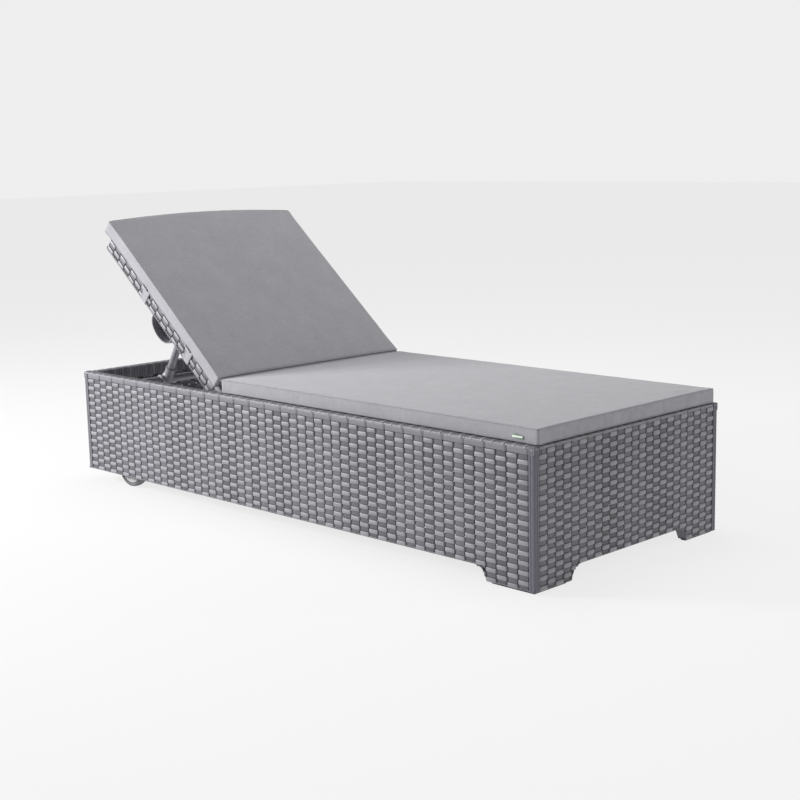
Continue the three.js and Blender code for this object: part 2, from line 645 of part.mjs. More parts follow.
const rackOutline = () => {
  const reach = STAY_TUBE_RADIUS + RACK_CLEARANCE;
  const [restX, restZ] = crossbarAt(0);
  const restTop = restZ - reach;
  const front = restX + 34;
  const [endX, endZ] = crossbarAt(LOWERED);
  const points = [
    [front, RACK_BOTTOM_Z], [front, restTop + RACK_STOP_RISE - 10],
    [restX + 24, restTop + RACK_STOP_RISE - 8], [restX + 12, restTop],
  ];
  const [stopX, stopZ] = [endX - reach - 2, endZ];
  const stepsPerNotch = 6;
  const steps = NOTCHES * stepsPerNotch;
  for (let step = 0; step <= steps; step += 1) {
    const part = step / steps;
    // The turn is eased so that the notches are about evenly spaced.
    const [x, z] = crossbarAt(LOWERED * part ** 1.5);
    const phase = (step % stepsPerNotch) / stepsPerNotch;
    const dip = NOTCH_DEPTH * Math.sin(Math.PI * phase) ** 0.7;
    points.push([x, z - reach - dip]);
  }
  points.push([stopX, stopZ - reach], [stopX, stopZ + 14], [stopX - 12, stopZ + 14], [stopX - 24, stopZ]);
  points.push([stopX - 24, RACK_BOTTOM_Z]);
  return outline(points);
};

for (const [label, side] of SIDES) {
  const plate = extrude(rackOutline(), 'y', ...span(side, ...RACK_Y));
  const pads = RACK_POSTS.map(([, lowX]) => block([lowX + 1, lowX + TUBE - 1],
    span(side, RACK_Y[0] + 2, RAIL_INNER_Y - GAP), [RACK_BOTTOM_Z, RACK_BOTTOM_Z + 26]));
  add(`rack_${label}`, union(plate, ...pads), 'frame');
}

export default lounger;
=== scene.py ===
"""Reclining sun lounger: woven body, hinged backrest on a folding stay, two cushions."""

import json
import math

import bmesh
import bpy
import numpy as np
from mathutils import Matrix, Vector
from mathutils.bvhtree import BVHTree


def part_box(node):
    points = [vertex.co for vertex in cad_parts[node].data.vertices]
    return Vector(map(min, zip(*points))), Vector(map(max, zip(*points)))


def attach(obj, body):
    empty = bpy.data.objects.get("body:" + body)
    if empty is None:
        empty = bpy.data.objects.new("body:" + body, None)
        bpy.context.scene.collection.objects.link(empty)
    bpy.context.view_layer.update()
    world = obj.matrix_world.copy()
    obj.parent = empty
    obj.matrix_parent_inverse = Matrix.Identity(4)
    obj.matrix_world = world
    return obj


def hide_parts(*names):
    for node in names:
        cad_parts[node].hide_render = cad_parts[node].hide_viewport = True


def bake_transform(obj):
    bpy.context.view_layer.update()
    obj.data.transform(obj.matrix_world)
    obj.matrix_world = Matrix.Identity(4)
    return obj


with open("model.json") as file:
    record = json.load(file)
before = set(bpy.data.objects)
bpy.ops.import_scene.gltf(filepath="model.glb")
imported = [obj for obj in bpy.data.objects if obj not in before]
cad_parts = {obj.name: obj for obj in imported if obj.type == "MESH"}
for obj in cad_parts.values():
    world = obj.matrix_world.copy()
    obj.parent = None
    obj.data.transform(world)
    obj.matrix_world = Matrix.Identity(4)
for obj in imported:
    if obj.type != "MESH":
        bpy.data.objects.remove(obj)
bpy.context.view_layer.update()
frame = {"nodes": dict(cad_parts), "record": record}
random = np.random.default_rng(7)

MM = 0.001
BACK_ANGLE = math.radians(40.2)
hinge = next(j for j in frame["record"]["behaviour"]["joints"] if j["name"] == "backrest_hinge")
BACK_TO_ROW = Matrix.Translation(hinge["pos_m"]) @ Matrix.Rotation(BACK_ANGLE, 4, "Y")
IDENTITY = Matrix.Identity(4)


# ---- materials

def srgb(red, green, blue):
    """Linear colour from 0 to 255 screen values."""
    def linear(value):
        value /= 255
        return value / 12.92 if value <= 0.04045 else ((value + 0.055) / 1.055) ** 2.4
    return (linear(red), linear(green), linear(blue), 1.0)


class Nodes:
    """Shorthand for building a material's node tree."""

    def __init__(self, name, roughness, metallic=0.0, specular=0.5):
        self.material = bpy.data.materials.new(name)
        self.material.use_nodes = True
        self.tree = self.material.node_tree
        self.shader = self.tree.nodes["Principled BSDF"]
        self.shader.inputs["Roughness"].default_value = roughness
        self.shader.inputs["Metallic"].default_value = metallic
        self.shader.inputs["Specular IOR Level"].default_value = specular
        self.position = self.tree.nodes.new("ShaderNodeTexCoord").outputs["Object"]

    def stretched(self, scale):
        mapping = self.tree.nodes.new("ShaderNodeMapping")
        mapping.inputs["Scale"].default_value = scale
        self.tree.links.new(self.position, mapping.inputs["Vector"])
        return mapping.outputs["Vector"]

    def noise(self, scale, detail=3.0, roughness=0.55, vector=None):
        node = self.tree.nodes.new("ShaderNodeTexNoise")
        node.inputs["Scale"].default_value = scale
        node.inputs["Detail"].default_value = detail
        node.inputs["Roughness"].default_value = roughness
        self.tree.links.new(vector or self.position, node.inputs["Vector"])
        return node.outputs["Fac"]

    def attribute(self, name):
        node = self.tree.nodes.new("ShaderNodeAttribute")
        node.attribute_name = name
        return node.outputs["Fac"]

    def math(self, operation, first, second):
        node = self.tree.nodes.new("ShaderNodeMath")
        node.operation = operation
        for socket, value in zip(node.inputs, (first, second)):
            if isinstance(value, (int, float)):
                socket.default_value = value
            else:
                self.tree.links.new(value, socket)
        return node.outputs["Value"]

    def ramp(self, value, stops):
        node = self.tree.nodes.new("ShaderNodeValToRGB")
        elements = node.color_ramp.elements
        elements[0].position, elements[0].color = stops[0]
        elements[1].position, elements[1].color = stops[-1]
        for position, color in stops[1:-1]:
            elements.new(position).color = color
        self.tree.links.new(value, node.inputs["Fac"])
        return node.outputs["Color"]

    def color(self, output):
        self.tree.links.new(output, self.shader.inputs["Base Color"])

    def roughness_from(self, value, low, high):
        node = self.tree.nodes.new("ShaderNodeMapRange")
        node.inputs["To Min"].default_value = low
        node.inputs["To Max"].default_value = high
        self.tree.links.new(value, node.inputs["Value"])
        self.tree.links.new(node.outputs["Result"], self.shader.inputs["Roughness"])

    def bump(self, height, strength, distance):
        node = self.tree.nodes.new("ShaderNodeBump")
        node.inputs["Strength"].default_value = strength
        node.inputs["Distance"].default_value = distance
        self.tree.links.new(height, node.inputs["Height"])
        self.tree.links.new(node.outputs["Normal"], self.shader.inputs["Normal"])


# Wicker tones run from painted shade in the slits and recesses, through the recessed strand, to a painted
# highlight on raised strands.
WICKER_SHADE = (44, 43, 48)
WICKER_MID = (99, 98, 104)
WICKER_HIGHLIGHT = (143, 142, 148)
STRIP_TINT = (-12, -12, -7)     # the corner strips are a little darker and bluer


def tinted(color, tint):
    return srgb(*(value + shift for value, shift in zip(color, tint)))


def wicker_material(name, grain, tint=(0, 0, 0)):
    """Flat resin strand: fine grain along it, a painted highlight where it stands proud and painted shade in
    its recesses and slits, no two quite alike.
    """
    nodes = Nodes(name, 0.42, specular=0.5)
    streaks = nodes.noise(1.0, 4.0, 0.6, nodes.stretched(grain))
    variation = nodes.math("ADD", nodes.math("MULTIPLY", nodes.attribute("strand"), 0.22),
                           nodes.math("MULTIPLY", streaks, 0.26))
    # The raised attribute paints a highlight where a strand stands proud and paints shade where it passes
    # under; strand and streaks are its own tone.
    shade = nodes.math("ADD", nodes.math("MULTIPLY", nodes.attribute("raised"), 0.62), variation)
    nodes.color(nodes.ramp(shade, [(0.12, tinted(WICKER_SHADE, tint)), (0.45, tinted(WICKER_MID, tint)),
                                   (0.92, tinted(WICKER_HIGHLIGHT, tint))]))
    nodes.roughness_from(streaks, 0.34, 0.56)
    nodes.bump(streaks, 0.5, 0.0006)
    return nodes.material


def fabric_material(name, dark, light):
    """Plain woven outdoor cloth: crossing threads, soft sheen and faint mottling."""
    nodes = Nodes(name, 0.92, specular=0.2)
    nodes.shader.inputs["Sheen Weight"].default_value = 0.25
    nodes.shader.inputs["Sheen Roughness"].default_value = 0.5
    mottling = nodes.noise(14.0, 3.0, 0.5)
    warp = nodes.noise(1.0, 3.0, 0.6, nodes.stretched((700, 50, 50)))
    weft = nodes.noise(1.0, 3.0, 0.6, nodes.stretched((50, 700, 700)))
    threads = nodes.math("MULTIPLY", nodes.math("ADD", warp, weft), 0.5)
    shade = nodes.math("ADD", nodes.math("MULTIPLY", mottling, 0.18), nodes.math("MULTIPLY", threads, 0.82))
    nodes.color(nodes.ramp(shade, [(0.36, srgb(*dark)), (0.64, srgb(*light))]))
    nodes.bump(threads, 0.6, 0.0005)
    return nodes.material


def coated_material(name, dark, light, roughness, metallic=0.0, scale=60.0):
    """Powder coat, moulded plastic or rubber: fine orange peel and slight wear."""
    nodes = Nodes(name, roughness, metallic)
    cloud = nodes.noise(scale, 5.0, 0.6)
    peel = nodes.noise(900.0, 2.0, 0.5)
    nodes.color(nodes.ramp(cloud, [(0.3, srgb(*dark)), (0.7, srgb(*light))]))
    nodes.roughness_from(cloud, roughness - 0.07, roughness + 0.1)
    nodes.bump(peel, 0.25, 0.0003)
    return nodes.material


def deck_material():
    """Hidden woven deck: over and under strands as bump and shade."""
    nodes = Nodes("deck_weave", 0.6)
    checker = nodes.tree.nodes.new("ShaderNodeTexChecker")
    checker.inputs["Scale"].default_value = 1.0
    nodes.tree.links.new(nodes.stretched((31.0, 78.0, 31.0)), checker.inputs["Vector"])
    grain = nodes.noise(1.0, 3.0, 0.6, nodes.stretched((60, 900, 60)))
    shade = nodes.math("ADD", nodes.math("MULTIPLY", checker.outputs["Fac"], 0.5),
                       nodes.math("MULTIPLY", grain, 0.5))
    nodes.color(nodes.ramp(shade, [(0.2, srgb(*WICKER_SHADE)), (0.9, srgb(*WICKER_MID))]))
    nodes.bump(shade, 0.6, 0.0015)
    return nodes.material


ALONG_X = wicker_material("wicker_along_x", (40, 900, 900))
ALONG_Y = wicker_material("wicker_along_y", (900, 40, 900))
UPRIGHT = wicker_material("wicker_upright", (900, 900, 40))
CORNER_STRIP = wicker_material("wicker_corner", (900, 900, 40), STRIP_TINT)
CUSHION = fabric_material("cushion_cloth", (145, 144, 149), (167, 166, 171))
PIPING = fabric_material("piping_cloth", (138, 137, 142), (152, 151, 156))
FRAME_PAINT = coated_material("frame_paint", (58, 57, 62), (70, 69, 75), 0.45, 0.2)
STAY_PAINT = coated_material("stay_paint", (132, 131, 138), (152, 151, 158), 0.36, 0.15)
FITTING = coated_material("fitting_plastic", (138, 137, 144), (156, 155, 162), 0.4)
HOUSING = coated_material("housing_metal", (124, 123, 129), (142, 141, 148), 0.4, 0.1)
TYRE = coated_material("tyre_rubber", (96, 95, 99), (116, 115, 119), 0.8)
HUB = coated_material("hub_plastic", (186, 185, 188), (206, 205, 208), 0.5)
PAD = coated_material("pad_rubber", (34, 34, 37), (46, 46, 50), 0.75)
LABEL = fabric_material("label_cloth", (232, 236, 232), (244, 247, 244))
LABEL_EDGE = fabric_material("label_edge_cloth", (118, 158, 118), (136, 176, 136))
DECK = deck_material()


# ---- mesh pieces

def make_object(name, verts, faces, material, strand=None, raised=None, smooth=True):
    """Mesh object from metre coordinates, optionally with a strand tone and a painted-light level for each
    vertex.
    """
    mesh = bpy.data.meshes.new(name)
    mesh.from_pydata(np.asarray(verts).tolist(), [], [list(map(int, f)) for f in faces])
    mesh.polygons.foreach_set("use_smooth", [smooth] * len(mesh.polygons))
    for label, values in (("strand", strand), ("raised", raised)):
        values = np.full(len(verts), 0.5) if values is None else np.asarray(values)
        mesh.attributes.new(label, "FLOAT", "POINT").data.foreach_set("value", values.astype(np.float32))
    mesh.materials.append(material)
    obj = bpy.data.objects.new(name, mesh)
    bpy.context.scene.collection.objects.link(obj)
    return obj


def unit(vectors):
    return vectors / np.linalg.norm(vectors, axis=1)[:, None]


def bmesh_object(name, bm, material):
    """Mesh object from a bmesh, which is freed."""
    mesh = bpy.data.meshes.new(name)
    bm.to_mesh(mesh)
    bm.free()
    mesh.materials.append(material)
    obj = bpy.data.objects.new(name, mesh)
    bpy.context.scene.collection.objects.link(obj)
    return obj


def apply_modifiers(obj):
    depsgraph = bpy.context.evaluated_depsgraph_get()
    mesh = bpy.data.meshes.new_from_object(obj.evaluated_get(depsgraph))
    obj.modifiers.clear()
    obj.data = mesh


def voxel_remesh(obj, voxel):
    """Rebuilds a closed mesh, or several that overlap, as one skin of even cells."""
    remesh = obj.modifiers.new("remesh", "REMESH")
    remesh.mode = "VOXEL"
    remesh.voxel_size = voxel


def finish_surface(obj, material):
    """Smooth shading and one material for a mesh that modifiers have rebuilt."""
    obj.data.polygons.foreach_set("use_smooth", [True] * len(obj.data.polygons))
    obj.data.materials.clear()
    obj.data.materials.append(material)


def sheet_faces(rows, columns, sheets=1):
    """Quads of a grid of points laid row by row. A second sheet of the same size faces the other way."""
    width = columns + 1
    layer = (rows + 1) * width
    faces = []
    for sheet in range(sheets):
        for row in range(rows):
            for column in range(columns):
                first = sheet * layer + row * width + column
                quad = (first, first + 1, first + width + 1, first + width)
                faces.append(tuple(reversed(quad)) if sheet else quad)
    return faces


# Section of a flat strand, across its width and its thickness.
STRAND_SECTION = np.array([
    (0.5, 0.0), (0.42, 0.42), (0.0, 0.5), (-0.42, 0.42), (-0.5, 0.0), (-0.42, -0.42), (0.42, -0.42)])


class Strands:
    """Collects flat strands swept along paths and joins them into one mesh."""

    def __init__(self):
        self.verts, self.faces, self.shades, self.lifts, self.count = [], [], [], [], 0

    def add(self, path, across, outward, width, thickness, shade=None, raised=0.6, closed=False):
        """Path (n, 3) in mm; across, outward and raised are one value, or one for each point. The raised
        value sets a painted highlight, and low values a painted shade.
        """
        path = np.asarray(path, float)
        across = np.broadcast_to(np.asarray(across, float), path.shape)
        outward = np.broadcast_to(np.asarray(outward, float), path.shape)
        rings = (path[:, None]
                 + across[:, None] * (STRAND_SECTION[:, 0, None] * width)
                 + outward[:, None] * (STRAND_SECTION[:, 1, None] * thickness))
        sides = len(STRAND_SECTION)
        steps = len(path) if closed else len(path) - 1
        index = np.arange(steps)[:, None] * sides
        following = (np.arange(steps)[:, None] + 1) % len(path) * sides
        corner = np.arange(sides)[None]
        turn = (corner + 1) % sides
        quads = np.stack([index + corner, index + turn, following + turn, following + corner], -1)
        self.verts.append(rings.reshape(-1, 3))
        self.faces.append(quads.reshape(-1, 4) + self.count)
        shade = random.uniform(0.1, 0.9) if shade is None else shade
        self.shades.append(np.full(len(path) * sides, shade))
        self.lifts.append(np.repeat(np.broadcast_to(np.asarray(raised, float), len(path)), sides))
        self.count += len(path) * sides

    def build(self, name, material, matrix=IDENTITY):
        verts = np.concatenate(self.verts) * MM
        turn = np.array(matrix.to_3x3())
        verts = verts @ turn.T + np.array(matrix.translation)
        return make_object(name, verts, np.concatenate(self.faces), material,
                           np.concatenate(self.shades), np.concatenate(self.lifts))


ROW_PITCH = 12.9
SIDE_COLUMN_PITCH = 36.0
END_COLUMN_PITCH = 31.5
WEAVER_THICKNESS = 2.2
WEAVE_LIFT = 2.3                 # weaver centre above or below the stakes
WEAVE_DEPTH = WEAVE_LIFT + WEAVER_THICKNESS / 2
WEAVER_FILL = 0.95               # share of its row that a weaver covers
STAKE_FILL = 0.88                # share of its column that a stake covers
STAKE_THICKNESS = 1.6
# Where along a column the weaver is sampled, and how far over it stands there.
COLUMN_SAMPLES = ((0.0, 0.0), (0.05, 0.72), (0.13, 1.0), (0.5, 1.12), (0.87, 1.0), (0.95, 0.72))


def weave(weavers, stakes, origin, along, up, out, length, height, column_pitch, spans=None, recess=0.42):
    """Plain weave on a flat panel: rows run along, stakes run up. Its outermost point is at out = 0.
    spans(height) lists the stretches of the panel that exist at a height; without it all of it does.
    recess is the painted shade of a weaver where it passes under."""
    origin, along, up, out = (np.asarray(v, float) for v in (origin, along, up, out))
    columns = max(2, round(length / column_pitch))
    rows = max(1, round(height / ROW_PITCH))
    pitch = length / columns
    row_height = height / rows
    samples = [((column + part) * pitch, column, level)
               for column in range(columns) for part, level in COLUMN_SAMPLES]
    samples.append((length, columns, 0.0))
    distance, column_of, level = np.array(samples).T
    for row in range(rows):
        centre = (row + 0.5) * row_height + random.uniform(-0.25, 0.25)
        over = (column_of + row) % 2 == 0
        lift = np.where(over, 1.0, -1.0) * level * WEAVE_LIFT
        lift = lift + random.normal(0, 0.1, len(lift)) - WEAVE_DEPTH
        # Painted highlight where a weaver passes over, painted shade where it passes under and in the slits
        # between columns.
        raised = np.where(over, 1.0, recess) * np.minimum(level * 1.2, 1.0)
        wander = np.cumsum(random.normal(0, 0.05, len(lift)))
        wander -= np.linspace(0, wander[-1], len(wander))
        for first, last in (spans(centre) if spans else [(0.0, length)]):
            keep = (distance >= first - 1e-6) & (distance <= last + 1e-6)
            path = (origin + distance[:, None] * along + (centre + wander)[:, None] * up
                    + lift[:, None] * out)
            if keep.sum() > 1:
                weavers.add(path[keep], up, out, row_height * WEAVER_FILL, WEAVER_THICKNESS,
                            raised=raised[keep])
    for column in range(columns):
        place = (column + 0.5) * pitch
        bottom = 0.0
        while spans and bottom < height and not any(a <= place <= b for a, b in spans(bottom)):
            bottom += 2.0
        middle = origin + place * along - WEAVE_DEPTH * out
        steps = np.linspace(bottom, height, max(2, int(height / 40)))
        # Stakes show only behind the weavers and carry painted shade.
        stakes.add(middle + steps[:, None] * up, along, out, pitch * STAKE_FILL, STAKE_THICKNESS, raised=0.3)


def finish_strands(strands, name, material, body, matrix=IDENTITY, replaced=()):
    """Builds collected strands as one piece that rides on a body."""
    obj = strands.build(name, material, matrix)
    if replaced:
        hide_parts(*replaced)
    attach(obj, body)


# ---- woven body

low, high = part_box("side_skin_right")
HEAD_X, FOOT_X = low.x / MM, high.x / MM
RIM_Z, BOTTOM_Z = high.z / MM, low.z / MM
HALF_WIDTH = -low.y / MM
RIM_WIDTH = (high.y - low.y) / MM
CORNER = 20                      # width of the plain corner strips
FOOT_BOTTOM = 5.5
FOOT_TAPER = 18
FOOT_FLARE = 22                  # where the lower edge leaves a foot's shoulder
EDGE_ROLL = 4.5                  # width of the bound lower edge
EDGE_THICKNESS = 4.6
STRIP_WIDTH = 8.2
STRIP_INSETS = (15.5, 7.6)       # flat corner strands, from the corner
SIDE_BAND, END_BAND = 23, 10     # height of the rim band
# Painted shade of a weaver where it passes under, on the side walls and on the end walls.
SIDE_RECESS, END_RECESS = 0.64, 0.4
RIM_STITCH = 3                   # every third strand over the rim stands proud

foot_low, foot_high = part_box("foot_right")
FOOT_LENGTH = (foot_high.x - foot_low.x) / MM
FOOT_WIDTH = (foot_high.y - foot_low.y) / MM

X, Y, Z = np.eye(3)

# Path of a strand laid over the rim: distance outwards from the wall's face, and height from its top.
RIM_PROFILE = np.array([
    (-1.4, -5.5), (-1.9, -2.2), (-4.2, -0.9), (-10, -0.3), (-RIM_WIDTH / 2, 0.0), (-RIM_WIDTH + 8, -0.3),
    (-RIM_WIDTH + 3.2, -1.8), (-RIM_WIDTH + 1.9, -5), (-RIM_WIDTH + 1.9, -38)])


def directions(profile):
    """Outward direction at each point of a flat path that has its outside on its left."""
    ahead = unit(np.gradient(profile, axis=0))
    return np.stack([ahead[:, 1], -ahead[:, 0]], -1)


def foot_reach(z, reach):
    """How far a foot runs from its corner at a height: a curved shoulder, then a tapered side."""
    if z >= BOTTOM_Z:
        return None
    part = (BOTTOM_Z - z) / (BOTTOM_Z - FOOT_BOTTOM)
    shoulder = 14 * math.exp(-part * 7)
    return reach - FOOT_TAPER * part + shoulder


def wall_spans(length, first_foot, last_foot):
    """Spans for a wall that stands on a foot at its start, its end, both or neither."""
    def spans(height):
        z = FOOT_BOTTOM + height
        if z >= BOTTOM_Z:
            return [(0.0, length)]
        kept = []
        if first_foot:
            kept.append((0.0, foot_reach(z, first_foot) - CORNER))
        if last_foot:
            kept.append((length - foot_reach(z, last_foot) + CORNER, length))
        return kept
    return spans


def lower_edge(length, first_foot, last_foot):
    """Outline of a wall's lower edge as (distance along, height)."""
    def near_end(reach):
        if not reach:
            return [(0, BOTTOM_Z)]
        side = [(foot_reach(z, reach), z) for z in np.linspace(FOOT_BOTTOM, BOTTOM_Z, 12)[:-1]]
        return [(0, FOOT_BOTTOM)] + side + [(reach + FOOT_FLARE, BOTTOM_Z)]
    far_end = [(length - distance, z) for distance, z in reversed(near_end(last_foot))]
    points = np.array(near_end(first_foot) + far_end, float)
    steps = np.concatenate([[0], np.cumsum(np.linalg.norm(np.diff(points, axis=0), axis=1))])
    even = np.arange(0, steps[-1], 5.0)
    return np.stack([np.interp(even, steps, points[:, 0]), np.interp(even, steps, points[:, 1])], -1)


def woven_wall(name, start, along, out, length, cad_skin, row_material, column_pitch, band, rim_inset, feet,
               recess):
    """One side of the body: plain weave down to the feet, rim band, strands over the rim, lower edge."""
    start, along, out = (np.asarray(v, float) for v in (start, along, out))
    rows, uprights, over = Strands(), Strands(), Strands()
    inner = length - 2 * CORNER
    spans = wall_spans(inner, *feet)
    lowest = FOOT_BOTTOM if any(feet) else BOTTOM_Z
    weave(rows, uprights, start + CORNER * along + lowest * Z, along, Z, out, inner,
          RIM_Z - band - lowest, column_pitch, spans if any(feet) else None, recess)
    pitch = inner / round(inner / column_pitch)

    # Rim band: a broad strand that tucks in once every two columns, with painted shade where it tucks in.
    steps = np.linspace(0, length, int(length / 4))
    phase = ((steps - CORNER) / (2 * pitch)) % 1.0
    tuck = np.exp(-(np.minimum(phase, 1 - phase) * 2 * pitch / 2.4) ** 2)
    path = (start + steps[:, None] * along + (RIM_Z - band / 2 - 1) * Z
            - (1.5 + 2.4 * tuck)[:, None] * out)
    rows.add(path, Z, out, band - 2.5, 2.4, raised=0.72 - 0.72 * tuck)

    # Lower edge, bound with thin strand.
    edge = lower_edge(length, *feet)
    tangent = unit(np.gradient(edge, axis=0))
    across = -tangent[:, 1, None] * along + tangent[:, 0, None] * Z
    ripple = 0.35 * np.sin(np.arange(len(edge)) * 2.1)
    path = (start + edge[:, 0, None] * along + edge[:, 1, None] * Z
            + across * EDGE_ROLL / 2 - (3.0 - ripple)[:, None] * out)
    rows.add(path, across, out, EDGE_ROLL, EDGE_THICKNESS, raised=0.35)

    # Strands laid over the rim, some of them standing proud as a stitch with a painted highlight.
    normals = directions(RIM_PROFILE)
    count = int((length - 2 * rim_inset) / (pitch / RIM_STITCH))
    step = (length - 2 * rim_inset) / count
    for number in range(count):
        place = rim_inset + (number + 0.5) * step
        proud = 0.8 if number % RIM_STITCH == 0 else random.uniform(0.0, 0.25)
        section = RIM_PROFILE + proud * normals
        path = start + place * along + section[:, 0, None] * out + (RIM_Z + section[:, 1, None] - 1.0) * Z
        outward = normals[:, 0, None] * out + normals[:, 1, None] * Z
        over.add(path, along, outward, step * 0.97, 1.8, raised=0.75 if proud > 0.5 else 0.5)
    finish_strands(rows, f"{name}_rows", row_material, "base", replaced=[cad_skin])
    finish_strands(uprights, f"{name}_stakes", UPRIGHT, "base")
    finish_strands(over, f"{name}_rim", UPRIGHT, "base")


LENGTH = FOOT_X - HEAD_X
WIDTH = 2 * HALF_WIDTH
for name, side in (("right", -1), ("left", 1)):
    woven_wall(f"side_{name}", (HEAD_X, side * HALF_WIDTH, 0), X, side * Y, LENGTH, f"side_skin_{name}",
               ALONG_X, SIDE_COLUMN_PITCH, SIDE_BAND, 0, (0, FOOT_LENGTH), SIDE_RECESS)
for name, x, out, foot in (("foot", FOOT_X, X, FOOT_WIDTH), ("head", HEAD_X, -X, 0)):
    woven_wall(f"end_{name}", (x, -HALF_WIDTH, 0), Y, out, WIDTH, f"end_skin_{name}", ALONG_Y,
               END_COLUMN_PITCH, END_BAND, RIM_WIDTH, (foot, foot), END_RECESS)


def corner_strips(name, end, bottom, material):
    """Upright flat strands that close the two corners at one end, one of them bent round the corner."""
    strands = Strands()
    heights = np.arange(bottom, RIM_Z - 2, 6.0)
    for side in (1, -1):
        ripple = 0.3 * np.sin(heights * 2 * math.pi / ROW_PITCH)
        depth = (1.7 - ripple)[:, None]
        for inset in STRIP_INSETS:
            for x, y, across, out in ((FOOT_X - inset, HALF_WIDTH, X, side * Y),
                                      (FOOT_X, HALF_WIDTH - inset, Y, end * X)):
                place = np.array([end * x, side * y, 0.0]) + heights[:, None] * Z
                strands.add(place - depth * out, across, out, STRIP_WIDTH, 3.0, shade=0.5, raised=0.5)
        diagonal = (end * X + side * Y) / math.sqrt(2)
        tangent = (end * X - side * Y) / math.sqrt(2)
        edge = np.array([end * (FOOT_X - 3.6), side * (HALF_WIDTH - 3.6), 0.0])
        strands.add(edge + heights[:, None] * Z + ripple[:, None] * diagonal, tangent, diagonal, 7.5, 5.0,
                    shade=0.5, raised=0.6)
    finish_strands(strands, name, material, "base")


corner_strips("corner_strips_foot", 1, FOOT_BOTTOM, CORNER_STRIP)
corner_strips("corner_strips_head", -1, BOTTOM_Z, UPRIGHT)


def foot_core(label, side):
    """Solid backing of a corner foot, just behind its weave: two tapered slabs in an L."""
    bm = bmesh.new()
    for reach, along, out, corner in (
            (FOOT_LENGTH, -X, side * Y, (FOOT_X - 4, side * (HALF_WIDTH - 4.6))),
            (FOOT_WIDTH, -side * Y, X, (FOOT_X - 4.6, side * (HALF_WIDTH - 4)))):
        levels = np.linspace(FOOT_BOTTOM + 0.5, BOTTOM_Z + 8, 9)
        outline = [(0.0, levels[0])] + [((foot_reach(z, reach) or reach) - 5, z) for z in levels]
        outline += [(0.0, levels[-1])]
        outer, inner = [], []
        for distance, z in outline:
            spot = np.array([corner[0], corner[1], 0]) + distance * along + z * Z
            outer.append(bm.verts.new(spot * MM))
            inner.append(bm.verts.new((spot - 24 * out) * MM))
        bm.faces.new(outer)
        bm.faces.new(list(reversed(inner)))
        for i in range(len(outline)):
            j = (i + 1) % len(outline)
            bm.faces.new((outer[j], outer[i], inner[i], inner[j]))
    bmesh.ops.recalc_face_normals(bm, faces=bm.faces)
    obj = bmesh_object(f"foot_core_{label}", bm, DECK)
    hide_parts(f"foot_{label}")
    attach(obj, "base")


foot_core("left", 1)
foot_core("right", -1)


# ---- woven backrest

BACK_LENGTH, BACK_TAIL = 742.0, 24.0
BACK_HALF_WIDTH = 368.0
BACK_FRONT, BACK_REAR = 24.0, -35.0
BACK_INSET = 6                   # weave starts this far inside the shell's edges
BACK_LIP = 5                     # and this far in front of its rear
# Painted shade of a backrest side weaver where it passes under.
BACK_RECESS = 0.7
WRAP_PITCH = 10.8
# Path of a strand wrapped round a rear edge: distance outwards from the side, and height above the rear.
WRAP_PROFILE = np.array([(-1.2, 9.0), (-1.0, 3.5), (-2.6, 1.0), (-6.0, 0.6), (-25.0, 1.0), (-26.0, 4.0)])
BACK_ENDS = ((-BACK_LENGTH, -X), (BACK_TAIL, X))
BACK_RUN = BACK_LENGTH + BACK_TAIL


def back_weave():
    """Front mat and four woven sides of the backrest shell."""
    rows, edges, stakes = Strands(), Strands(), Strands()
    side_height = BACK_FRONT - BACK_REAR - 2 * BACK_LIP
    width = 2 * (BACK_HALF_WIDTH - BACK_INSET)
    weave(rows, stakes, (-BACK_LENGTH + BACK_INSET, -BACK_HALF_WIDTH + BACK_INSET, BACK_FRONT), Y, X, Z,
          width, BACK_RUN - 2 * BACK_INSET, END_COLUMN_PITCH)
    for side in (1, -1):
        weave(edges, stakes, (-BACK_LENGTH + 4, side * BACK_HALF_WIDTH, BACK_REAR + BACK_LIP), X, Z, side * Y,
              BACK_RUN - 8, side_height, SIDE_COLUMN_PITCH, recess=BACK_RECESS)
    for x, out in BACK_ENDS:
        weave(rows, stakes, (x, -BACK_HALF_WIDTH + BACK_INSET, BACK_REAR + BACK_LIP), Y, Z, out,
              width, side_height, END_COLUMN_PITCH)
    return rows, edges, stakes


def edge_wrap(strands, start, along, out, length):
    """Strands wrapped round an edge of the shell from its side to its rear lip."""
    start, along, out = (np.asarray(v, float) for v in (start, along, out))
    normals = -directions(WRAP_PROFILE)
    count = int(length / WRAP_PITCH)
    for number in range(count):
        place = (number + 0.5) * length / count
        path = start + place * along + WRAP_PROFILE[:, 0, None] * out + WRAP_PROFILE[:, 1, None] * Z
        strands.add(path, along, normals[:, 0, None] * out + normals[:, 1, None] * Z,
                    length / count * 0.96, 2.0)


def front_edge(strands, line, out):
    """Rounded strand just inside a front edge, facing halfway between the side and the front."""
    path = line - 4.0 * out + (BACK_FRONT - 3.6) * Z
    strands.add(path, 0.7 * out - 0.7 * Z, 0.7 * out + 0.7 * Z, 11, 4)


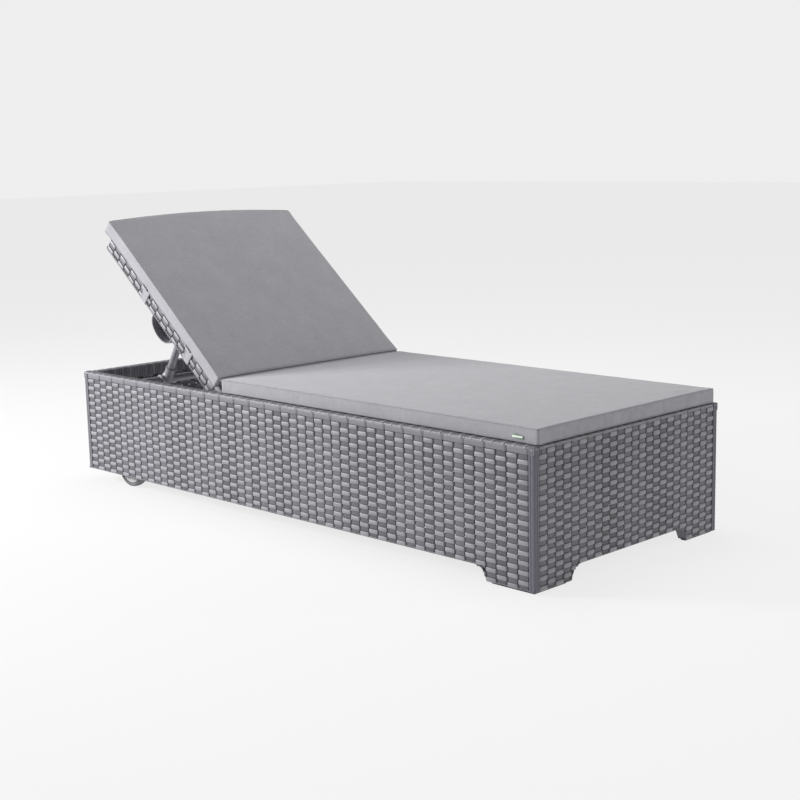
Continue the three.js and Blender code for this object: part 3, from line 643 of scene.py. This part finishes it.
def back_wraps():
    """Wrapped rear edges and rounded front edges of the backrest shell."""
    wraps = Strands()
    for side in (1, -1):
        edge_wrap(wraps, (-BACK_LENGTH, side * BACK_HALF_WIDTH, BACK_REAR), X, side * Y, BACK_RUN)
    for x, out in BACK_ENDS:
        edge_wrap(wraps, (x, -BACK_HALF_WIDTH, BACK_REAR), Y, out, 2 * BACK_HALF_WIDTH)
    for side in (1, -1):
        steps = np.linspace(-BACK_LENGTH, BACK_TAIL, 200)
        front_edge(wraps, steps[:, None] * X + side * BACK_HALF_WIDTH * Y, side * Y)
    for x, out in BACK_ENDS:
        steps = np.linspace(-BACK_HALF_WIDTH, BACK_HALF_WIDTH, 160)
        front_edge(wraps, steps[:, None] * Y + x * X, out)
    return wraps


back_rows, back_edges, back_stakes = back_weave()
finish_strands(back_rows, "back_weave", ALONG_Y, "backrest", BACK_TO_ROW, ["back_shell"])
finish_strands(back_edges, "back_side_weave", ALONG_X, "backrest", BACK_TO_ROW)
finish_strands(back_stakes, "back_stakes", ALONG_X, "backrest", BACK_TO_ROW)
finish_strands(back_wraps(), "back_edge_wraps", UPRIGHT, "backrest", BACK_TO_ROW)


# ---- cushions

def perimeter(x0, x1, half_width, corner, spacing):
    """Points round a rounded rectangle, in mm, with the outward direction at each."""
    corners = ((x1 - corner, half_width - corner, 0), (x0 + corner, half_width - corner, 90),
               (x0 + corner, -half_width + corner, 180), (x1 - corner, -half_width + corner, 270))
    points, outward = [], []
    for number, (cx, cy, first) in enumerate(corners):
        for step in range(7):
            turn = math.radians(first + 15 * step)
            outward.append((math.cos(turn), math.sin(turn)))
            points.append((cx + corner * outward[-1][0], cy + corner * outward[-1][1]))
        nx, ny, _ = corners[(number + 1) % 4]
        away = outward[-1]
        start, end = points[-1], (nx + corner * away[0], ny + corner * away[1])
        count = int(math.dist(start, end) / spacing)
        for step in range(1, count):
            part = step / count
            points.append((start[0] + (end[0] - start[0]) * part, start[1] + (end[1] - start[1]) * part))
            outward.append(away)
    return np.array(points), np.array(outward)


CUSHION_CORNER = 5.0             # radius of a cushion's upright corners
CUSHION_OVERSIZE = 4.0           # trimmed off again after the cloth pass, which keeps the corners full
CUSHION_EDGE = 1.5               # radius of its sewn edges
CUSHION_CROWN = 1.5              # rise of its top above the CAD block
SEAM_RADIUS = 1.5
CLOTH_VOXEL = 0.0056             # cell of the mesh that swells, in metres
CLOTH_CAP = 0.006                # furthest the cloth pass may move a point
CLOTH_FRAMES = 20
SIDE_PULL = 0.003                # how far the sides are drawn in between the corners


def cushion_mesh(name, x0, x1, half_width, z0, z1):
    """Closed cushion body before its cloth pass: rounded corners and slightly rounded edges."""
    points, outward = perimeter(x0, x1, half_width, CUSHION_CORNER, 60.0)
    levels = ((z0, CUSHION_EDGE), (z0 + CUSHION_EDGE, 0), (z1 - CUSHION_EDGE, 0), (z1, CUSHION_EDGE))
    bm = bmesh.new()
    rings = []
    for z, inset in levels:
        ring = points - outward * inset
        rings.append([bm.verts.new((px * MM, py * MM, z * MM)) for px, py in ring])
    for lower, upper in zip(rings, rings[1:]):
        for i in range(len(lower)):
            j = (i + 1) % len(lower)
            bm.faces.new((lower[i], lower[j], upper[j], upper[i]))
    bm.faces.new(list(reversed(rings[0])))
    bm.faces.new(rings[-1])
    return bmesh_object(name, bm, CUSHION)


def points_of(obj):
    points = np.empty(len(obj.data.vertices) * 3)
    obj.data.vertices.foreach_get("co", points)
    return points.reshape(-1, 3)


def inflate(obj):
    """Swells a closed mesh with cloth pressure and returns its points, none moved further than the cap."""
    voxel_remesh(obj, CLOTH_VOXEL)
    apply_modifiers(obj)
    before = points_of(obj)
    cloth = obj.modifiers.new("cloth", "CLOTH")
    settings = cloth.settings
    settings.quality = 5
    settings.use_pressure = True
    settings.uniform_pressure_force = 4.0
    settings.tension_stiffness = 30
    settings.compression_stiffness = 30
    settings.bending_stiffness = 2.0
    settings.effector_weights.gravity = 0.0
    cloth.collision_settings.use_collision = False
    cloth.point_cache.frame_start = 1
    cloth.point_cache.frame_end = CLOTH_FRAMES
    for number in range(1, CLOTH_FRAMES + 1):
        bpy.context.scene.frame_set(number)
    apply_modifiers(obj)
    bpy.context.scene.frame_set(1)
    move = points_of(obj) - before
    length = np.linalg.norm(move, axis=1)[:, None]
    return before + move * np.minimum(1, CLOTH_CAP / np.maximum(length, 1e-9))


# Waves along the seams: axis, wavelength in metres and phase.
PUCKERS = ((0, 0.031, 0.4), (0, 0.083, 2.0), (1, 0.037, 1.1), (1, 0.097, 0.2))


def shaped(points, box, crown, end_bulge):
    """Crowned top, sides pulled in between the corners, a bulged head edge and puckers at the seams."""
    x0, x1, half, z0, z1 = box
    along = np.clip((points[:, 0] - x0) / (x1 - x0), 0, 1)
    across = np.clip((points[:, 1] + half) / (2 * half), 0, 1)
    height = np.clip((points[:, 2] - z0) / (z1 - z0), 0, 1)
    end_dome, side_dome = 1 - (2 * along - 1) ** 6, 1 - (2 * across - 1) ** 4
    near_head = np.exp(-((points[:, 0] - x0) / 0.16) ** 2)
    arch = 1 - (2 * across - 1) ** 2
    edge = np.minimum.reduce([points[:, 0] - x0, x1 - points[:, 0], half - np.abs(points[:, 1])])
    pucker = sum(np.sin(points[:, axis] * 2 * math.pi / wave + phase) for axis, wave, phase in PUCKERS)
    points[:, 2] += crown * end_dome * side_dome * height
    points[:, 2] += end_bulge * arch * near_head * height
    points[:, 2] += 0.0004 * pucker * np.exp(-(edge / 0.02) ** 2) * (height - 0.5)
    points[:, 0] -= end_bulge * 0.8 * arch * near_head
    points[:, 1] -= np.sign(points[:, 1]) * SIDE_PULL * (2 * across - 1) ** 8 * (1 - (2 * along - 1) ** 8)
    head_or_foot = np.where(along > 0.5, 1.0, -1.0 if not end_bulge else 0.0)
    points[:, 0] -= head_or_foot * SIDE_PULL * (2 * along - 1) ** 16 * (1 - (2 * across - 1) ** 8)
    return points


def wrinkle(points, creases):
    """Shallow folds: each crease is a line with a width, a length and a depth, all in metres."""
    for (cx, cy), angle, width, length, depth in creases:
        dx, dy = points[:, 0] - cx, points[:, 1] - cy
        lengthways = dx * math.cos(angle) + dy * math.sin(angle)
        sideways = -dx * math.sin(angle) + dy * math.cos(angle)
        points[:, 2] += depth * np.exp(-(sideways / width) ** 2 - (lengthways / length) ** 2)
    return points


def seam_cord(name, cushion, box, level, body, matrix):
    """Sewn cord along the edge of the finished cushion, at its top (+1) or bottom (-1)."""
    x0, x1, half, z0, z1 = box
    tree = BVHTree.FromObject(cushion, bpy.context.evaluated_depsgraph_get())
    points, outward = perimeter(x0, x1, half, CUSHION_CORNER, 8.0)
    z = z1 if level > 0 else z0
    path = []
    for (px, py), (ox, oy) in zip(points, outward):
        probe = Vector((px + 12 * ox, py + 12 * oy, z + 12 * level)) * MM
        path.append(np.array(tree.find_nearest(probe)[0]) / MM)
    path = np.array(path)
    for _ in range(3):
        path = (np.roll(path, 1, 0) + 2 * path + np.roll(path, -1, 0)) / 4
    ahead = unit(np.roll(path, -1, 0) - np.roll(path, 1, 0))
    away = unit(np.cross(ahead, Z))
    cord = Strands()
    cord.add(path, np.cross(away, ahead), away, 2 * SEAM_RADIUS, 2 * SEAM_RADIUS, shade=0.5, closed=True)
    seam = cord.build(name, PIPING, matrix)
    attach(seam, body)


def make_cushion(name, box, end_bulge, creases, body, matrix, replaced):
    """Cushion with its cloth pass, wrinkles and seams, built lying flat in its own frame."""
    x0, x1, half, z0, z1 = box
    over = CUSHION_OVERSIZE
    obj = cushion_mesh(name, x0 - over, x1 + over, half + over, z0 - over / 2, z1 + over / 2)
    trim_low = np.array([x0 - 1, -half - 1.5, z0 + 2.0]) * MM
    trim_high = np.array([x1 + 1, half + 1.5, z1 + 1.5]) * MM
    points = np.clip(inflate(obj), trim_low, trim_high)
    points = shaped(points, [v * MM for v in box], CUSHION_CROWN * MM, end_bulge * MM)
    points = wrinkle(points, creases)
    obj.data.vertices.foreach_set("co", points.ravel())
    smooth = obj.modifiers.new("smooth", "SMOOTH")
    smooth.iterations = 1
    subdivide = obj.modifiers.new("subdivide", "SUBSURF")
    subdivide.levels = subdivide.render_levels = 1
    apply_modifiers(obj)
    finish_surface(obj, CUSHION)
    bpy.context.view_layer.update()
    seam_cord(f"{name}_seam_top", obj, box, 1, body, matrix)
    seam_cord(f"{name}_seam_bottom", obj, box, -1, body, matrix)
    obj.data.transform(matrix)
    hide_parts(*replaced)
    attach(obj, body)


seat_low, seat_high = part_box("seat_cushion")
SEAT = [v / MM for v in (seat_low.x, seat_high.x, seat_high.y, seat_low.z, seat_high.z)]
# Creases: centre, angle, width, length and depth, in metres and radians.
SEAT_CREASES = [((0.93, 0.33), 0.5, 0.008, 0.05, -0.0012), ((0.95, 0.28), 1.2, 0.01, 0.04, 0.001),
                ((0.55, -0.2), 0.2, 0.03, 0.25, 0.0008), ((-0.1, 0.15), 1.3, 0.03, 0.2, -0.0008)]
BACK_CREASES = [((-0.7, 0.2), 1.2, 0.02, 0.1, -0.001), ((-0.1, -0.1), 1.6, 0.02, 0.25, 0.0008)]
HEAD_BULGE = 13.0                # how far the back cushion's head edge arches out

FOLD_X, FOLD_TOP = -33.0, 68.5   # lower end and face of the back cushion, in the flat backrest's own frame
BACK_CUSHION_END = -761.0
BACK_CUSHION_LOW = 26.0
BACK = [BACK_CUSHION_END, FOLD_X, SEAT[2], BACK_CUSHION_LOW, FOLD_TOP]
make_cushion("seat_pad", SEAT, 0.0, SEAT_CREASES, "base", IDENTITY, ["seat_cushion"])
make_cushion("back_pad", BACK, HEAD_BULGE, BACK_CREASES, "backrest", BACK_TO_ROW, ["back_cushion"])


def fold_strip():
    """Cloth that joins the two cushions: a narrow crease between them at the backrest's raised angle."""
    seat_edge = Vector(((SEAT[0] + 4) * MM, 0, (SEAT[4] - 4) * MM))
    back_edge = BACK_TO_ROW @ Vector(((FOLD_X - 4) * MM, 0, (FOLD_TOP - 4) * MM))
    valley = (seat_edge + back_edge) / 2 - Vector((0, 0, 0.006))
    steps, columns = 12, 60
    half = (SEAT[2] - 4) * MM
    verts = []
    for thickness in (0.0, -0.0015):
        for step in range(steps + 1):
            part = step / steps
            spot = seat_edge * (1 - part) ** 2 + valley * 2 * part * (1 - part) + back_edge * part ** 2
            for column in range(columns + 1):
                gather = 0.0004 * math.sin(column * 1.9) * math.sin(math.pi * part)
                verts.append((spot.x, -half + 2 * half * column / columns, spot.z + thickness + gather))
    obj = make_object("cushion_fold", verts, sheet_faces(steps, columns, 2), CUSHION)
    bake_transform(obj)


fold_strip()

STRAP_WIDTH = 34.0
STRAP_THICKNESS = 2.0
STRAP_X = {"low": -205.0, "high": -485.0}


def strap(label, x):
    """Strap sewn to the cushion's two sides and drawn round the rear of the backrest."""
    half, side, rear = SEAT[2], BACK_HALF_WIDTH + 1.2, BACK_REAR - 1.6
    turned = [(-half + 2, 30), (-half + 1, 26.5), (-side - 7, 22.5), (-side - 0.8, 17), (-side, 8),
              (-side, -25), (-side + 1, rear + 3), (-side + 5, rear), (-300, rear - 0.4)]
    profile = np.array(turned + [(0, rear)] + [(-y, z) for y, z in reversed(turned)], float)
    normals = directions(profile)
    path = np.stack([np.full(len(profile), x), profile[:, 0], profile[:, 1]], -1)
    outward = np.stack([np.zeros(len(profile)), normals[:, 0], normals[:, 1]], -1)
    band = Strands()
    for offset in (-0.36, 0.36):
        shift = np.array([offset * STRAP_WIDTH, 0, 0])
        band.add(path + shift + 0.2 * outward, X, outward, STRAP_WIDTH * 0.12, STRAP_THICKNESS + 0.4,
                 shade=0.5)
    band.add(path, X, outward, STRAP_WIDTH, STRAP_THICKNESS, shade=0.5)
    obj = band.build(f"strap_{label}", CUSHION, BACK_TO_ROW)
    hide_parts(f"cushion_strap_{label}")
    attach(obj, "backrest")


for label, x in STRAP_X.items():
    strap(label, x)


def label_piece():
    """Blank sewn-in label on the seat cushion's near side: a pale band between two coloured edges."""
    x0, x1, z0, z1 = 916, 950, 392.5, 400.5
    edge = 2.0
    y = -SEAT[2] - 0.6
    columns = 8
    levels = (z0, z0 + edge, z1 - edge, z1)
    verts = [((x0 + (x1 - x0) * c / columns) * MM, (y - 1.4 * math.sin(math.pi * c / columns)) * MM, z * MM)
             for z in levels for c in range(columns + 1)]
    verts += [(px, py + 0.0008, pz) for px, py, pz in verts]
    obj = make_object("cushion_label", verts, sheet_faces(len(levels) - 1, columns, 2), LABEL, smooth=False)
    obj.data.materials.append(LABEL_EDGE)
    for number, polygon in enumerate(obj.data.polygons):
        row = (number // columns) % (len(levels) - 1)
        polygon.material_index = 0 if row == 1 else 1
    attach(obj, "base")


label_piece()


# ---- stay, housings, wheels

def lathe(profile, centre, axis_y_sign, segments=96):
    """Closed ring profile (radius, along) turned round an axis parallel to Y, in mm."""
    verts, faces = [], []
    count = len(profile)
    for segment in range(segments):
        turn = 2 * math.pi * segment / segments
        for radius, along in profile:
            spoke = Vector((radius * math.cos(turn), along * axis_y_sign, radius * math.sin(turn)))
            verts.append((centre + spoke) * MM)
    for segment in range(segments):
        nxt = (segment + 1) % segments
        for i in range(count):
            j = (i + 1) % count
            quad = (segment * count + i, segment * count + j, nxt * count + j, nxt * count + i)
            faces.append(quad if axis_y_sign > 0 else tuple(reversed(quad)))
    return verts, faces


def wheel_piece(name, label, profile, middle, sign, material):
    """One turned piece of a wheel, named after the CAD node and the slot it stands for."""
    obj = make_object(f"wheel_{name}_{label}", *lathe(profile, middle, sign), material)
    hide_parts(f"{name}_{label}")
    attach(obj, f"wheel_{label}")


def wheel(label, sign):
    """Tyre with a rounded tread, and a hub with a dished web. Profiles are (radius, along the axle)."""
    low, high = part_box(f"tyre_{label}")
    middle = (low + high) / 2 / MM
    radius = (high.z - low.z) / 2 / MM
    half = (high.y - low.y) / 2 / MM
    tread_steps = 12
    tyre = [(radius - 13, -half + 3)]
    for step in range(tread_steps + 1):
        turn = math.pi * (step / tread_steps)
        tyre.append((radius - 7 + 7 * math.sin(turn) ** 0.6, -half * math.cos(turn)))
    tyre.append((radius - 13, half - 3))
    wheel_piece("tyre", label, tyre, middle, sign, TYRE)

    rim = radius - 13.3
    inner_face = [(6.4, -14), (17, -14), (18, -13), (18.5, -8), (rim - 8, -8), (rim - 5, -11.5), (rim, -12)]
    outer_face = [(rim, 12), (rim - 2, 12.6), (rim - 4, 12), (rim - 6, 9.4), (24, 8.6), (20, 9.2), (18, 13),
                  (16.5, 14), (6.4, 14)]
    wheel_piece("hub", label, inner_face + outer_face, middle, sign, HUB)


wheel("left", 1)
wheel("right", -1)

# The stay, in its own frame: pointing along -X from its pivot.
STAY_ANGLE = math.radians(98.8)  # between the backrest and the stay at rest
stay_joint = next(j for j in frame["record"]["behaviour"]["joints"] if j["name"] == "stay_pivot")
STAY_TO_ROW = Matrix.Translation(stay_joint["pos_m"]) @ Matrix.Rotation(BACK_ANGLE - STAY_ANGLE, 4, "Y")
STAY_LENGTH = 214.5
TUBE_RADIUS = 12.5
LEG_Y = 258.0
SLEEVE_RADIUS, LIP_RADIUS = 15.8, 17.2
SLEEVE_HALF, SLEEVE_REACH = 31, 48     # the tee's run along the crossbar, and up the leg
LIP = 5
TEE_VOXEL = 0.0012


def stay_tube(name, start, end, replaced, segments=40, cap=2.0):
    """Tube of the stay with rolled ends, from start to end in the stay's own frame, in mm."""
    start, end = Vector(start), Vector(end)
    direction = (end - start).normalized()
    side = direction.orthogonal().normalized()
    other = direction.cross(side)
    length = (end - start).length
    rolled = [(0.0, TUBE_RADIUS - 3.5), (0.0, TUBE_RADIUS - cap), (cap * 0.3, TUBE_RADIUS - cap * 0.3),
              (cap, TUBE_RADIUS)]
    sections = rolled + [(length - along, radius) for along, radius in reversed(rolled)]
    verts, faces = [], []
    for along, radius in sections:
        for segment in range(segments):
            turn = 2 * math.pi * segment / segments
            spoke = side * (radius * math.cos(turn)) + other * (radius * math.sin(turn))
            verts.append(STAY_TO_ROW @ ((start + direction * along + spoke) * MM))
    for ring in range(len(sections) - 1):
        for segment in range(segments):
            nxt = (segment + 1) % segments
            faces.append((ring * segments + segment, ring * segments + nxt,
                          (ring + 1) * segments + nxt, (ring + 1) * segments + segment))
    faces.append(tuple(reversed(range(segments))))
    faces.append(tuple(range((len(sections) - 1) * segments, len(sections) * segments)))
    obj = make_object(name, verts, faces, STAY_PAINT)
    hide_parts(replaced)
    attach(obj, "stay")


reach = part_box("stay_crossbar")[1].y / MM
stay_tube("crossbar", (-STAY_LENGTH, -reach, 0), (-STAY_LENGTH, reach, 0), "stay_crossbar")
for label, y in (("left", LEG_Y), ("right", -LEG_Y)):
    stay_tube(f"leg_{label}", (-10, y, 0), (-STAY_LENGTH + 10, y, 0), f"stay_leg_{label}")


def tee_piece(label, side):
    """Moulded tee: sleeves blended into each other, with a lip on each mouth."""
    y = side * LEG_Y
    x, mouth = -STAY_LENGTH, -STAY_LENGTH + SLEEVE_REACH
    parts = [((x, y - SLEEVE_HALF, 0), (x, y + SLEEVE_HALF, 0), SLEEVE_RADIUS),
             ((x, y, 0), (mouth, y, 0), SLEEVE_RADIUS),
             ((x, y - SLEEVE_HALF, 0), (x, y - SLEEVE_HALF + LIP, 0), LIP_RADIUS),
             ((x, y + SLEEVE_HALF - LIP, 0), (x, y + SLEEVE_HALF, 0), LIP_RADIUS),
             ((mouth - LIP, y, 0), (mouth, y, 0), LIP_RADIUS)]
    bm = bmesh.new()
    for start, end, radius in parts:
        start, end = Vector(start), Vector(end)
        matrix = (Matrix.Translation((start + end) / 2 * MM)
                  @ (end - start).to_track_quat("Z", "Y").to_matrix().to_4x4())
        bmesh.ops.create_cone(bm, cap_ends=True, segments=48, radius1=radius * MM, radius2=radius * MM,
                              depth=(end - start).length * MM, matrix=matrix)
    # A cone fills the inner corner between the sleeves.
    matrix = Matrix.Translation(Vector((-STAY_LENGTH + 14, y, 0)) * MM) @ Matrix.Rotation(math.pi / 2, 4, "Y")
    bmesh.ops.create_cone(bm, cap_ends=True, segments=48, radius1=24 * MM, radius2=15 * MM, depth=28 * MM,
                          matrix=matrix)
    obj = bmesh_object(f"tee_{label}", bm, FITTING)
    voxel_remesh(obj, TEE_VOXEL)
    smooth = obj.modifiers.new("smooth", "SMOOTH")
    smooth.iterations = 6
    apply_modifiers(obj)
    obj.data.transform(STAY_TO_ROW)
    finish_surface(obj, FITTING)
    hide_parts(f"stay_tee_{label}")
    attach(obj, "stay")


tee_piece("left", 1)
tee_piece("right", -1)


# ---- carried-over CAD nodes

MATERIAL_OF_SLOT = {"wicker": ALONG_X, "frame_paint": FRAME_PAINT, "stay_metal": STAY_PAINT,
                    "fitting": FITTING, "cushion": CUSHION, "tyre": TYRE, "hub": HUB, "pad": PAD}
SPECIAL = {"deck_mat": DECK, "stay_housing_left": HOUSING, "stay_housing_right": HOUSING}
for part in frame["record"]["subparts"]:
    node = frame["nodes"][part["node"]]
    node.data.materials.clear()
    node.data.materials.append(SPECIAL.get(part["node"], MATERIAL_OF_SLOT[part["material_slot"]]))


# ---- floor, light and camera

FLOOR_SIZE = 60.0
FLOOR_GREY = (106, 109)          # the paint's two greys
FLOOR_GLOW = 0.78                # keeps the floor pale under a soft light
WALL_LIGHT, WALL_TONE = 0.28, 0.86     # strength of the walls as a light and as seen


def floor_piece():
    """Pale floor, wide enough to reach the horizon."""
    cells = 12
    verts = [((column / cells - 0.5) * FLOOR_SIZE, (row / cells - 0.5) * FLOOR_SIZE, 0)
             for row in range(cells + 1) for column in range(cells + 1)]
    mesh = bpy.data.meshes.new("floor")
    mesh.from_pydata(verts, [], sheet_faces(cells, cells))
    floor = bpy.data.objects.new("floor", mesh)
    bpy.context.scene.collection.objects.link(floor)
    nodes = Nodes("floor_paint", 0.95, specular=0.0)
    darker, lighter = (srgb(grey, grey, grey) for grey in FLOOR_GREY)
    nodes.color(nodes.ramp(nodes.noise(0.4, 2.0), [(0.3, darker), (0.7, lighter)]))
    nodes.shader.inputs["Emission Color"].default_value = (1.0, 1.0, 1.0, 1.0)
    nodes.shader.inputs["Emission Strength"].default_value = FLOOR_GLOW
    mesh.materials.append(nodes.material)


def area_light(name, place, target, size, energy):
    """Round soft light, aimed at a target: width in metres, power in watts."""
    data = bpy.data.lights.new(name, "AREA")
    data.shape = "DISK"
    data.size = size
    data.energy = energy
    light = bpy.data.objects.new(name, data)
    light.location = place
    light.rotation_euler = (Vector(target) - Vector(place)).to_track_quat("-Z", "Y").to_euler()
    bpy.context.scene.collection.objects.link(light)


def studio_world():
    """Even studio walls: dim as a light, pale where they are seen directly."""
    world = bpy.data.worlds.new("studio")
    world.use_nodes = True
    tree = world.node_tree
    tree.nodes["Background"].inputs["Color"].default_value = (1.0, 1.0, 1.0, 1.0)
    path = tree.nodes.new("ShaderNodeLightPath")
    scale = tree.nodes.new("ShaderNodeMapRange")
    scale.inputs["To Min"].default_value = WALL_LIGHT
    scale.inputs["To Max"].default_value = WALL_TONE
    tree.links.new(path.outputs["Is Camera Ray"], scale.inputs["Value"])
    tree.links.new(scale.outputs["Result"], tree.nodes["Background"].inputs["Strength"])
    bpy.context.scene.world = world


floor_piece()
studio_world()
area_light("key", (-3.0, -3.0, 1.9), (-0.3, 0, 0.4), 1.5, 230)
area_light("overhead", (-0.6, 0.4, 4.2), (0, 0, 0.3), 2.6, 78)
area_light("rim", (3.4, 3.0, 1.7), (0.9, 0, 0.2), 1.2, 34)

# The camera stands at the photograph's viewing angle.
CAMERA_PLACE = (3.2534, -3.0920, 1.1175)
CAMERA_LENS = 65.33
AZIMUTH, ELEVATION, ROLL = (math.radians(value) for value in (45.33, 9.94, -1.25))


def photo_camera():
    """Camera with its axes built from the viewing angles."""
    backward = Vector((math.sin(AZIMUTH) * math.cos(ELEVATION), -math.cos(AZIMUTH) * math.cos(ELEVATION),
                       math.sin(ELEVATION)))
    level = Vector((math.cos(AZIMUTH), math.sin(AZIMUTH), 0))
    steep = backward.cross(level)
    right = level * math.cos(ROLL) + steep * math.sin(ROLL)
    upward = steep * math.cos(ROLL) - level * math.sin(ROLL)
    data = bpy.data.cameras.new("camera")
    data.lens = CAMERA_LENS
    data.sensor_width = 36.0
    camera = bpy.data.objects.new("camera", data)
    axes = Matrix((right, upward, backward)).transposed()
    camera.matrix_world = Matrix.Translation(CAMERA_PLACE) @ axes.to_4x4()
    bpy.context.scene.collection.objects.link(camera)
    bpy.context.scene.camera = camera


photo_camera()
bpy.context.scene.view_settings.view_transform = "Standard"
